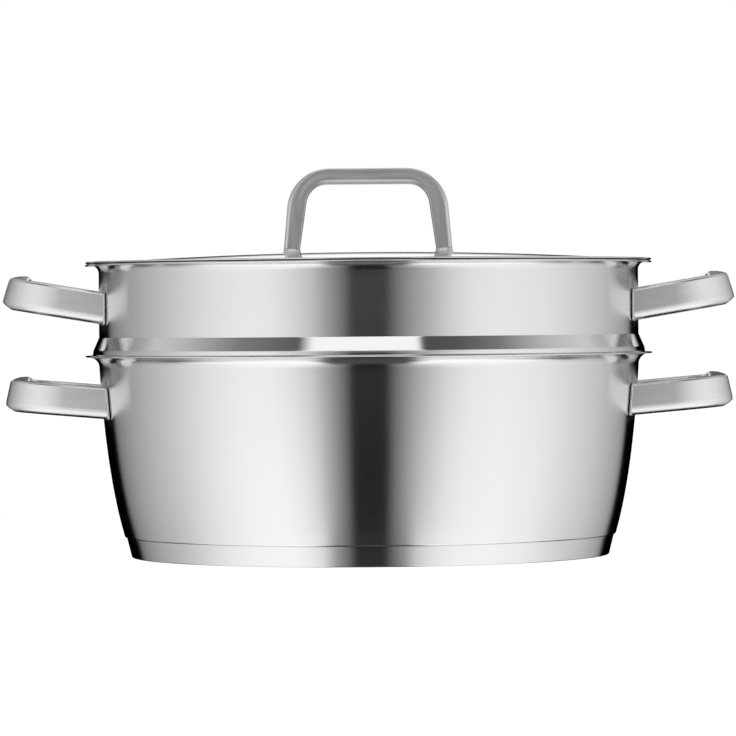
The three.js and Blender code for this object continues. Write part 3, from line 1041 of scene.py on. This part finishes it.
    def _foot_place(self, wall: Wall, way: float, off: float) -> tuple[Vector, Vector, float]:
        """Where an arm meets the wall.

        Args:
            wall: Where the handle meets the vessel.
            way: Which arm, -1 or 1 along Y.
            off: How far out from the wall.

        Returns:
            The place, the wall's outward normal there, and how far that is turned about Z.
        """
        lean = math.radians(wall.lean)
        across = way * self.arm_middle
        turn = math.asin(across / (wall.radius + off))
        out = Vector((math.cos(turn) * math.cos(lean), math.sin(turn) * math.cos(lean), -math.sin(lean)))
        run = (wall.radius + off) * math.cos(turn) - wall.radius
        drop = run * math.tan(math.radians(self.rise - wall.lean))
        shift = drop * math.tan(lean)
        return Vector((wall.radius + run + shift, across, wall.height + drop)), out, math.degrees(turn)

    def _trim_roots(self, wall: Wall) -> None:
        """Trims both arms of the active bow to their saddles.

        Args:
            wall: Where the handle meets the vessel.
        """
        Bench.edit()
        for way in (-1.0, 1.0):
            place, out, _ = self._foot_place(wall, way, self.seam + self.saddle + self.weld)
            Bench.pick(lambda p, way=way: p.y * way > -HAIR)
            Bench.cut(place, out, Drop.BEHIND)
        Bench.done()

    def build_saddle(self, name: str, wall: Wall, way: float) -> bpy.types.Object:
        """One saddle of the right-hand handle, in its place.

        Args:
            name: The object's name.
            wall: Where the handle meets the vessel.
            way: Which arm, -1 or 1 along Y.

        Returns:
            The object.
        """
        across, up = (full / 2 + self.saddle_margin for full in (self.arm, self.height))
        face = Section.oblong(across, up, self.saddle_round)
        outline = [Vector((0.0, point.x, point.y)) for point in face]
        saddle = Bench.plate(name, outline, Vector((self.saddle, 0.0, 0.0)))
        Bench.round_edges(saddle, self.saddle_edge, self.saddle_steps)
        place, _, turn = self._foot_place(wall, way, self.seam)
        Bench.place(saddle, place, (0.0, wall.lean, turn))
        Bench.smooth(saddle)
        return saddle

    def build(self, vessel: str, wall: Wall, stock: Stock) -> None:
        """Both handles of a vessel, fitted to the frame.

        Args:
            vessel: The vessel's name, which the nodes' names start with.
            wall: Where the right-hand handle meets it.
            stock: How the pieces go into the frame.
        """
        right = self.build_bow(f"{vessel}_bow_right", wall)
        left = Bench.copied(right, f"{vessel}_bow_left", 180.0)
        stock.fit(right, f"{vessel}_handle_right")
        stock.fit(left, f"{vessel}_handle_left")
        for way, end, far_end in ((-1.0, "front", "rear"), (1.0, "rear", "front")):
            near = self.build_saddle(f"{vessel}_saddle_right_{end}", wall, way)
            far = Bench.copied(near, f"{vessel}_saddle_left_{far_end}", 180.0)
            stock.fit(near, f"{vessel}_handle_right_{end}_foot")
            stock.fit(far, f"{vessel}_handle_left_{far_end}_foot")


@dataclass(frozen=True)
class Braiser:
    """The lower vessel, with its capsule base and its handles."""

    satin: Finish
    cast: Finish
    core: Finish
    rim: Rim = field(default_factory=Rim)
    handle: SideHandle = field(default_factory=SideHandle)
    height: float = 105.4
    heel_inset: float = 11.5
    heel_height: float = 14.8
    heel_run: float = 10.0
    heel_round: float = 1.0
    heel_fold: float = 4.0
    lean_top: float = 3.4
    lean_heel: float = 15.1
    side_steps: int = 28
    fine_steps: int = 200
    core_thickness: float = 7.5
    capsule_gauge: float = 0.8
    capsule_inset: float = 2.2
    capsule_taper: float = 14.0
    capsule_round: float = 0.6
    capsule_top: float = 10.1
    seam: float = 0.4
    handle_drop: float = 24.1

    @property
    def floor(self) -> float:
        """The height of the floor's underside."""
        return self.capsule_gauge + self.core_thickness

    @property
    def heel(self) -> Vector:
        """Where the wall turns in to the floor."""
        return Vector((self.rim.wall - self.heel_inset, self.heel_height))

    def side(self, count: int) -> list[Vector]:
        """The outside of the wall, from heel to rim.

        Args:
            count: How many steps it has.

        Returns:
            The points of the wall.
        """
        top = Vector((self.rim.wall, self.rim.bend(self.height).y))
        steep, flat = math.tan(math.radians(self.lean_top)), math.tan(math.radians(self.lean_heel))
        spread = top.x - self.heel.x - steep * (top.y - self.heel.y)
        bulge = self.heel.y + spread / (flat - steep)
        return Section.curve(self.heel, Vector((top.x - steep * (top.y - bulge), bulge)), top, count)

    def skin(self) -> list[Vector]:
        """The outside of the vessel, from the middle of its floor to its lip.

        Returns:
            The points of the skin.
        """
        low, edge = self.capsule_top + self.seam, self.heel.x - self.capsule_inset - self.capsule_gauge
        foot = self.heel.x - math.tan(math.radians(self.lean_heel)) * (self.heel.y - low)
        turn = Section.rounded([
            (0.0, self.floor),
            (edge - self.heel_run, self.floor, self.heel_fold),
            (edge, low, self.heel_round),
            (foot, low, self.heel_round),
            tuple(self.heel),
        ])
        return [*turn, *self.side(self.side_steps)[1:], *self.rim.skin(self.height)[1:]]

    def wall_at(self, height: float) -> Wall:
        """The wall's radius and lean at a height.

        Args:
            height: The height.

        Returns:
            The wall there.
        """
        low, high = next(pair for pair in pairwise(self.side(self.fine_steps)) if pair[1].y > height)
        share = (height - low.y) / (high.y - low.y)
        lean = math.degrees(math.atan2(high.x - low.x, high.y - low.y))
        return Wall(low.lerp(high, share).x, lean, height)

    def capsule(self) -> list[Vector]:
        """The outside of the base capsule, from its middle to its edge.

        Returns:
            The points of the skin.
        """
        edge = self.heel.x - self.capsule_inset
        foot = edge - self.capsule_top * math.tan(math.radians(self.capsule_taper))
        return Section.rounded([(0.0, 0.0), (foot, 0.0, self.capsule_round), (edge, self.capsule_top)])

    def build(self) -> None:
        """Builds the vessel, its base and its handles."""
        vessel = Bench.turned("braiser_vessel", Section.sheet(self.skin(), self.rim.gauge))
        Stock(Body.BRAISER, "satin_steel", self.satin).fit(vessel, "braiser_shell")
        cup = Bench.turned("base_cup", Section.sheet(self.capsule(), self.capsule_gauge))
        Stock(Body.BRAISER, "polished_steel", self.satin).fit(cup, "base_capsule")
        self.core.dress(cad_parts["base_core"])
        stock = Stock(Body.BRAISER, "handle_steel", self.cast)
        self.handle.build("braiser", self.wall_at(self.height - self.handle_drop), stock)


@dataclass(frozen=True)
class Steamer:
    """The stacking insert, with its perforated floor and its handles."""

    satin: Finish
    floor_finish: Finish
    cast: Finish
    braiser: Braiser
    rim: Rim = field(default_factory=lambda: Rim(flare=4.35, curls=True))
    handle: SideHandle = field(default_factory=SideHandle)
    rise: float = 48.0
    bead_reach: float = 3.6
    bead_edge: float = 2.7
    bead_lean: float = 0.62
    bead_top: float = 9.5
    bead_round: float = 1.6
    bead_foot_round: float = 1.2
    bead_neck_round: float = 1.0
    fold_round: float = 1.2
    spigot_depth: float = 26.0
    spigot_clearance: float = 1.4
    spigot_round: float = 4.0
    ledge: float = 9.0
    floor_overlap: float = 7.0
    floor_gauge: float = 1.0
    hole_radius: float = 4.5
    hole_margin: float = 8.0
    hole_pitch: float = 26.0
    holes_per_ring_step: int = 6
    hole_sides: int = 32
    hole_edge: float = 0.2
    hole_edge_steps: int = 2
    pin_length: float = 8.0
    seam: float = 0.3
    handle_drop: float = 22.8

    @property
    def top(self) -> float:
        """The height of the rim."""
        return self.braiser.height + self.rise

    @property
    def ledge_under(self) -> float:
        """The height of the ledge's underside."""
        return self.braiser.height - self.spigot_depth

    def seat(self) -> float:
        """The height at which the foot of the step rests in the bend of the braiser's rim.

        Returns:
            The height.
        """
        rest = self.braiser.rim
        bend = rest.bend(self.braiser.height)
        across = bend.x - (self.rim.wall + self.bead_reach - self.bead_foot_round)
        return bend.y + math.sqrt((rest.flare + rest.gauge) ** 2 - across**2) + self.seam

    def skin(self) -> list[Vector]:
        """The outside of the insert, from the ledge's inner edge to its lip.

        Returns:
            The points of the skin.
        """
        foot = self.braiser.wall_at(self.ledge_under).radius - self.rim.gauge - self.spigot_clearance
        bead, base = self.rim.wall + self.bead_reach, self.braiser.height
        lower = Section.rounded([
            (foot - self.spigot_round - self.ledge, self.ledge_under),
            (foot, self.ledge_under, self.spigot_round),
            (self.rim.mouth - self.spigot_clearance, self.seat(), self.fold_round),
            (bead, self.seat(), self.bead_foot_round),
            (bead - self.bead_lean, base + self.bead_edge, self.bead_round),
            (self.rim.wall, base + self.bead_top, self.bead_neck_round),
            (self.rim.wall, self.rim.bend(self.top).y),
        ])
        return [*lower, *self.rim.skin(self.top)[1:]]

    def build_floor(self) -> bpy.types.Object:
        """The perforated disc that lies on the ledge.

        Returns:
            The object.
        """
        inner = self.skin()[0].x
        low = self.ledge_under + self.rim.gauge
        Bench.clear()
        radius = (inner + self.floor_overlap) * MM
        bpy.ops.mesh.primitive_circle_add(
            vertices=SPIN_STEPS, radius=radius, fill_type="NGON", location=(0.0, 0.0, low * MM),
        )
        disc = Bench.named("steamer_plate")
        bpy.ops.object.transform_apply(location=True)
        Bench.edit()
        bpy.ops.mesh.extrude_region_move(TRANSFORM_OT_translate={"value": (0.0, 0.0, self.floor_gauge * MM)})
        Bench.settle()
        Bench.done()
        pins = self._build_pins(inner, low)
        Bench.modify(disc, "BOOLEAN", operation="DIFFERENCE", object=pins, solver="EXACT")
        bpy.data.objects.remove(pins)
        Bench.round_edges(disc, self.hole_edge, self.hole_edge_steps)
        Bench.smooth(disc)
        return disc

    def _build_pins(self, inner: float, low: float) -> bpy.types.Object:
        """The pins that the floor's holes are cut with: a middle one and rings about it.

        Args:
            inner: The radius inside the ledge.
            low: The height of the floor's underside.

        Returns:
            One object with all the pins.
        """
        Bench.clear()
        size = {"vertices": self.hole_sides, "radius": self.hole_radius * MM, "depth": self.pin_length * MM}
        bpy.ops.mesh.primitive_cylinder_add(location=(0.0, 0.0, low * MM), **size)
        pins = Bench.named("floor_pins")
        Bench.edit()
        rings = int((inner - self.hole_margin - self.hole_radius) // self.hole_pitch)
        for ring in range(1, rings + 1):
            bpy.ops.mesh.select_all(action="DESELECT")
            bpy.ops.mesh.primitive_cylinder_add(location=(ring * self.hole_pitch * MM, 0.0, low * MM), **size)
            more = ring * self.holes_per_ring_step - 1
            turn = 2 * math.pi * more / (more + 1)
            bpy.ops.mesh.spin(steps=more, dupli=True, angle=turn, center=(0, 0, 0), axis=(0, 0, 1))
        Bench.done()
        return pins

    def build(self) -> None:
        """Builds the insert, its floor and its handles."""
        vessel = Bench.turned("steamer_vessel", Section.sheet(self.skin(), self.rim.gauge))
        Stock(Body.STEAMER, "satin_steel", self.satin).fit(vessel, "steamer_wall")
        Stock(Body.STEAMER, "satin_steel", self.floor_finish).fit(self.build_floor(), "steamer_floor")
        wall = Wall(self.rim.wall, 0.0, self.top - self.handle_drop)
        self.handle.build("steamer", wall, Stock(Body.STEAMER, "handle_steel", self.cast))


@dataclass(frozen=True)
class Lid:
    """The lid, with the arch that stands on it."""

    polished: Finish
    cast: CastSteel
    steamer: Steamer
    gauge: float = 0.8
    inset: float = 0.2
    seat_gap: float = 0.02
    dome: float = 4.1
    dome_steps: int = 24
    plug_clearance: float = 1.0
    groove_width: float = 6.4
    groove_depth: float = 6.0
    groove_round: float = 1.8
    arch_height: float = 44.0
    arch_width: float = 88.0
    arch_leg: float = 8.3
    arch_lean: float = 5.1
    arch_gap_lean: float = 8.3
    arch_bar: float = 8.2
    arch_depth: float = 16.0
    arch_outer_corner: float = 22.0
    arch_inner_corner: float = 11.0
    leg_edges: tuple[float, float] = (0.6, 2.2)
    bar_edges: tuple[float, float] = (3.2, 0.6)
    edge_steps: int = 6
    pad: float = 2.2
    pad_margin: float = 0.4
    pad_draft: float = 0.35
    pad_round: float = 3.0
    pad_edge: float = 0.15
    pad_steps: int = 3
    seam: float = 0.3
    weld: float = 0.1

    @property
    def seat(self) -> float:
        """The height of the underside where the lid rests on the insert's rim."""
        return self.steamer.top + self.seat_gap

    @property
    def groove_inner(self) -> float:
        """The radius at which the dome ends and the groove starts."""
        return self.steamer.rim.mouth - self.plug_clearance - self.groove_width

    def dome_height(self, radius: float) -> float:
        """The height of the dome's underside at a radius."""
        curve = (self.groove_inner**2 + self.dome**2) / (2 * self.dome)
        return self.seat + self.dome - curve + math.sqrt(curve**2 - radius**2)

    def skin(self) -> list[Vector]:
        """The underside of the lid, from its middle to its edge.

        Returns:
            The points of the skin.
        """
        top, inner = self.seat, self.groove_inner
        outer = inner + self.groove_width
        edge = self.steamer.rim.wall + self.steamer.rim.reach - self.inset - self.gauge / 2
        radii = [inner * i / self.dome_steps for i in range(self.dome_steps)]
        return Section.rounded([
            *((radius, self.dome_height(radius)) for radius in radii),
            (inner, top, self.groove_round),
            (inner, top - self.groove_depth, self.groove_round),
            (outer, top - self.groove_depth, self.groove_round),
            (outer, top, self.groove_round),
            (edge, top),
        ])

    @property
    def pad_low(self) -> float:
        """The height of the feet's underside."""
        half = self.arch_leg / 2 + self.pad_margin
        return self.dome_height(self.foot_middle - half) + self.gauge + self.seam

    @property
    def foot_middle(self) -> float:
        """How far the middle of a foot lies from the lid's middle."""
        return (self.arch_width - self.arch_leg) / 2

    @property
    def arch_foot(self) -> float:
        """The height of the arch's foot."""
        return self.pad_low + self.pad + self.weld

    @property
    def arch_top(self) -> float:
        """The height of the arch's top."""
        return self.steamer.top + self.gauge + self.dome + self.arch_height

    @property
    def arch_bend(self) -> Vector:
        """The middle of the arch's inner bend on the right, across and up.

        Returns:
            The place.
        """
        under = self.arch_top - self.arch_bar
        lean = (under - self.arch_foot) * math.tan(math.radians(self.arch_gap_lean))
        return Vector((self.arch_width / 2 - self.arch_leg - lean, under)) - Vector((1.0, 1.0)) * self.arch_inner_corner

    def build_arch(self) -> bpy.types.Object:
        """The arch, whose legs are run on past its feet, rounded and then trimmed.

        Returns:
            The object.
        """
        foot, top = self.arch_foot, self.arch_top
        under, low = top - self.arch_bar, foot - 2 * max(self.leg_edges)
        wide, gap = self.arch_width / 2, self.arch_width / 2 - self.arch_leg

        def across(half: float, lean: float, height: float) -> float:
            """How far from the middle a side of a leg lies at a height."""
            return half - (height - foot) * math.tan(math.radians(lean))

        gap_low, gap_top = (across(gap, self.arch_gap_lean, height) for height in (low, under))
        wide_low, wide_top = (across(wide, self.arch_lean, height) for height in (low, top))
        outline = Section.rounded([
            (-gap_low, low),
            (-gap_top, under, self.arch_inner_corner),
            (gap_top, under, self.arch_inner_corner),
            (gap_low, low),
            (wide_low, low),
            (wide_top, top, self.arch_outer_corner),
            (-wide_top, top, self.arch_outer_corner),
            (-wide_low, low),
            (-gap_low, low),
        ])
        front = -self.arch_depth / 2
        places = [Vector((point.x, front, point.y)) for point in outline]
        arch = Bench.plate("lid_arch", places, Vector((0.0, self.arch_depth, 0.0)))
        Bench.round_edges_by(arch, self.edge_steps, self._edge_at)
        Bench.edit()
        Bench.cut(Vector((0.0, 0.0, foot)), Vector((0.0, 0.0, 1.0)), Drop.BEHIND)
        Bench.done()
        Bench.smooth(arch)
        return arch

    def _edge_at(self, place: Vector) -> float:
        """The rounding of the arch's edge, which runs over from the legs' to the bar's round the bend.

        Args:
            place: The middle of an edge.

        Returns:
            The rounding there.
        """
        across, up = abs(place.x) - self.arch_bend.x, place.z - self.arch_bend.y
        middle = self.arch_inner_corner + self.arch_bar / 2
        if across > 0 and up > 0:
            under, share = math.hypot(across, up) < middle, math.atan2(up, across) / (math.pi / 2)
        elif up > 0:
            under, share = up < middle, 1.0
        else:
            lean = math.tan(math.radians((self.arch_lean + self.arch_gap_lean) / 2))
            under, share = across + up * lean < middle, 0.0
        leg, bar = (edges[0 if under else 1] for edges in (self.leg_edges, self.bar_edges))
        return leg + (bar - leg) * share**2 * (3 - 2 * share)

    def build_foot(self, name: str) -> bpy.types.Object:
        """The right-hand foot under the arch.

        Args:
            name: The object's name.

        Returns:
            The object.
        """
        across, along = (full / 2 + self.pad_margin for full in (self.arch_leg, self.arch_depth))
        face = Section.oblong(across, along, self.pad_round)
        outline = [Vector((point.x + self.foot_middle, point.y, self.pad_low)) for point in face]
        foot = Bench.plate(name, outline, Vector((0.0, 0.0, self.pad)))
        Bench.pick(lambda p: p.z > self.pad_low + self.pad / 2)
        drafted = (1 - self.pad_draft / across, 1 - self.pad_draft / along, 1.0)
        bpy.ops.transform.resize(value=drafted, center_override=(self.foot_middle * MM, 0.0, 0.0))
        Bench.round_edges(foot, self.pad_edge, self.pad_steps)
        Bench.smooth(foot)
        return foot

    def build(self) -> None:
        """Builds the lid, its arch and the arch's feet."""
        shell = Bench.turned("lid_plate", Section.sheet(self.skin(), self.gauge))
        Stock(Body.LID, "polished_steel", self.polished).fit(shell, "lid_shell")
        stock = Stock(Body.LID, "handle_steel", replace(self.cast, bend=tuple(self.arch_bend)))
        stock.fit(self.build_arch(), "lid_handle")
        right = self.build_foot("lid_pad_right")
        left = Bench.copied(right, "lid_pad_left", 180.0)
        stock.fit(right, "lid_handle_right_foot")
        stock.fit(left, "lid_handle_left_foot")


@dataclass(frozen=True)
class TentLight(Finish):
    """The light of a tent all round the object, by bearing, height and place over the table.

    Bearings count from the camera's side. The tent is bright at both sides, with a dark gap where the camera stands. It
    is dark behind, but for a line low down and two small kickers, and has lamps higher up and overhead. The table under
    it throws light back, but for a dark runner along its middle.
    """

    name: str = "tent_light"
    peak: float = 1.2
    sides: tuple[tuple[float, float], ...] = (
        (-135.0, 0.0), (-130.0, 0.2), (-115.0, 0.36), (-88.0, 0.6),
        (-64.0, 0.87), (-49.0, 0.98), (-37.0, 1.0), (-29.0, 0.93), (-22.0, 0.76), (-16.0, 0.46), (-8.0, 0.11),
        (-6.3, 0.01), (6.5, 0.01), (8.0, 0.09), (14.0, 0.33), (23.0, 0.64), (30.0, 0.83), (38.0, 0.93),
        (52.0, 0.97), (72.0, 0.9), (104.0, 0.62), (127.0, 0.38), (133.0, 0.27), (137.0, 0.0),
    )
    above: tuple[tuple[float, float], ...] = (
        (-180.0, 0.45), (-140.0, 0.42), (-113.0, 0.25), (-99.0, 0.6), (-84.0, 0.5), (-56.0, 0.2),
        (-29.5, 0.1), (-23.5, 1.0), (20.6, 1.0), (22.8, 0.07),
        (38.0, 0.09), (56.0, 0.18), (79.0, 0.5), (101.0, 0.63), (113.0, 0.3), (140.0, 0.42), (180.0, 0.45),
    )
    dimming: float = 0.1
    gap_dimming: float = 0.22
    gap_side: tuple[float, float] = (14.0, 46.0)
    dimmed: tuple[float, float] = (-17.0, 3.0)
    back: float = 0.9
    back_side: tuple[float, float] = (164.0, 168.0)
    back_line: tuple[float, float] = (1.0, 9.4)
    line_blur: float = 1.0
    kick: float = 0.7
    kick_side: tuple[float, float] = (137.0, 150.0)
    kick_height: tuple[float, float] = (9.0, 17.0)
    overhead: float = 0.75
    bounce: float = 1.1
    above_from: float = 22.0
    overhead_from: float = 64.0
    bounce_from: float = -38.0
    runner: tuple[float, float] = (125.0, 190.0)
    runner_level: float = 0.06
    table_end: tuple[float, float] = (88.0, 115.0)
    blur: float = 5.0

    def nodes(self, graph: Graph) -> bpy.types.Node:
        """Builds the tent's light from the direction in which it is seen.

        Args:
            graph: The material's nodes.

        Returns:
            The shader node.
        """
        x, y, z = graph.place()
        turn = x.bearing(0 - y)
        aside = turn.size()
        height = (z / (x * x + y * y + z * z).root()).arcsine()
        near_gap = 1 - aside.step(*self.gap_side)
        level = self._ramp(graph, turn, self.sides)
        level = level * (1 - height.step(*self.dimmed) * (self.dimming + near_gap * self.gap_dimming))
        level = level + aside.step(*self.back_side) * (1 - height.between(*self.back_line, self.line_blur)) * self.back
        kicker = aside.between(*self.kick_side, self.line_blur) * height.between(*self.kick_height, self.line_blur)
        level = level + kicker * self.kick
        level = level.mixed(self._ramp(graph, turn, self.above), height.reaches(self.above_from, self.blur))
        level = level.mixed(self.overhead, height.reaches(self.overhead_from, self.blur))
        runner = x.size().step(*(half * MM for half in self.runner))
        lit = runner * (1 - self.runner_level) + self.runner_level
        bounce = lit * (1 - aside.step(*self.table_end)) * self.bounce
        level = bounce.mixed(level, height.reaches(self.bounce_from, self.blur))
        return graph.node("ShaderNodeEmission", None, {"Color": level, "Strength": self.peak})

    @staticmethod
    def _ramp(graph: Graph, turn: Wire, stops: Sequence[tuple[float, float]]) -> Wire:
        """A level that follows the bearing, from stops in degrees."""
        places = [(angle / FULL_TURN + 0.5, level) for angle, level in stops]
        return graph.wire(graph.node("ShaderNodeValToRGB", {"stops": places}, {0: turn / FULL_TURN + 0.5}))


@dataclass(frozen=True)
class FloorPaper(Finish):
    """White paper on the floor, which glows to the camera and keeps a faint shadow."""

    name: str = "floor_paper"
    light: tuple[float, float, float] = (0.96, 0.96, 0.96)
    dark: tuple[float, float, float] = (0.93, 0.93, 0.93)
    fibre: float = 25.0
    glow: float = 0.965
    shadow: float = 0.1

    def nodes(self, graph: Graph) -> bpy.types.Node:
        """Builds the paper's shader.

        Args:
            graph: The material's nodes.

        Returns:
            The shader node.
        """
        fibre = graph.spots(graph.place(), self.fibre, detail=2.0)
        paper = graph.node("ShaderNodeBsdfDiffuse", None, {"Color": graph.tone(fibre, self.dark, self.light)})
        light = graph.node("ShaderNodeEmission", None, {"Strength": self.glow / (1 - self.shadow)})
        path = graph.node("ShaderNodeLightPath")
        share = graph.wire(path, "Is Camera Ray") * (1 - self.shadow)
        return graph.node("ShaderNodeMixShader", None, {0: share, 1: graph.wire(paper), 2: graph.wire(light)})


@dataclass(frozen=True)
class Studio:
    """A white studio: paper on the floor, a light tent round it and a white world behind."""

    floor_size: float = 30.0
    floor_cells: int = 8
    tent_radius: float = 0.65
    tent_middle: float = 0.1
    tent_segments: int = 64

    def build(self) -> None:
        """Builds the floor, the tent and the world."""
        Bench.clear()
        cells = self.floor_cells
        bpy.ops.mesh.primitive_grid_add(x_subdivisions=cells, y_subdivisions=cells, size=self.floor_size)
        floor = Bench.named("studio_floor")
        FloorPaper().dress(floor)
        floor.visible_glossy = False
        Bench.clear()
        bpy.ops.mesh.primitive_uv_sphere_add(
            segments=self.tent_segments, ring_count=self.tent_segments // 2,
            radius=self.tent_radius, location=(0.0, 0.0, self.tent_middle),
        )
        tent = Bench.named("light_tent")
        TentLight().dress(tent)
        tent.visible_camera = False
        tent.visible_shadow = False
        world = bpy.data.worlds.new("white_world")
        world.use_nodes = True
        graph = Graph(world.node_tree)
        white = graph.node("ShaderNodeBackground", None, {"Color": (1.0, 1.0, 1.0, 1.0), "Strength": 1.0})
        graph.node("ShaderNodeOutputWorld", None, {"Surface": graph.wire(white)})
        bpy.context.scene.world = world
        bpy.context.scene.view_settings.view_transform = "Standard"
        LOG.info("studio is set")


@dataclass(frozen=True)
class PhotoCamera:
    """The camera of the photograph: a long lens, low and far away, turned by a fraction of a degree."""

    distance: float = 2446.0
    eye: float = 125.3
    aim: tuple[float, float] = (-0.57, 97.8)
    focal_pixels: float = 4668.0
    image_pixels: float = 736.0
    sensor: float = 36.0
    roll: float = -0.46

    def build(self) -> None:
        """Makes the camera and gives it to the scene."""
        Bench.clear()
        place = Vector((0.0, -self.distance, self.eye))
        aim = Vector((self.aim[0], 0.0, self.aim[1]))
        turn = (aim - place).to_track_quat("-Z", "Y") @ Quaternion((0.0, 0.0, 1.0), math.radians(self.roll))
        bpy.ops.object.camera_add(location=place * MM, rotation=turn.to_euler())
        camera = Bench.named("photo_camera")
        camera.data.sensor_width = self.sensor
        camera.data.lens = self.focal_pixels / self.image_pixels * self.sensor
        bpy.context.scene.camera = camera
        LOG.info("camera is set, with a lens of %.0f mm", camera.data.lens)


def main() -> None:
    """Builds the cookware, the studio and the camera."""
    logging.basicConfig(level=logging.INFO, format="%(name)s: %(message)s")
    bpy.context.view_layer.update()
    PhotoCamera().build()
    satin = TurnedSteel("brushed_steel")
    step = TurnedSteel("brushed_steel_bright_step", polish=(105.0, 115.2))
    polished = TurnedSteel(
        "bright_brushed_steel", light=(0.81, 0.81, 0.805), dark=(0.71, 0.71, 0.705), roughness=0.06,
        anisotropy=0.6, ring_share=0.02, turning_share=0.6, depth=0.0005,
    )
    cast = CastSteel("satin_cast_steel", roughness=0.27, bend=SideHandle().bend_middle(Rim().wall))
    arch = CastSteel(
        "satin_cast_steel_arch", light=(0.93, 0.93, 0.925), dark=(0.53, 0.53, 0.525), roughness=0.37, bow=Bow.STANDS,
    )
    core = CastSteel("plain_aluminium", light=(0.84, 0.85, 0.86), dark=(0.78, 0.79, 0.8), roughness=0.5)
    braiser = Braiser(satin, cast, core)
    braiser.build()
    steamer = Steamer(step, satin, cast, braiser)
    steamer.build()
    Lid(polished, arch, steamer).build()
    Studio().build()


if __name__ == "__main__":
    main()
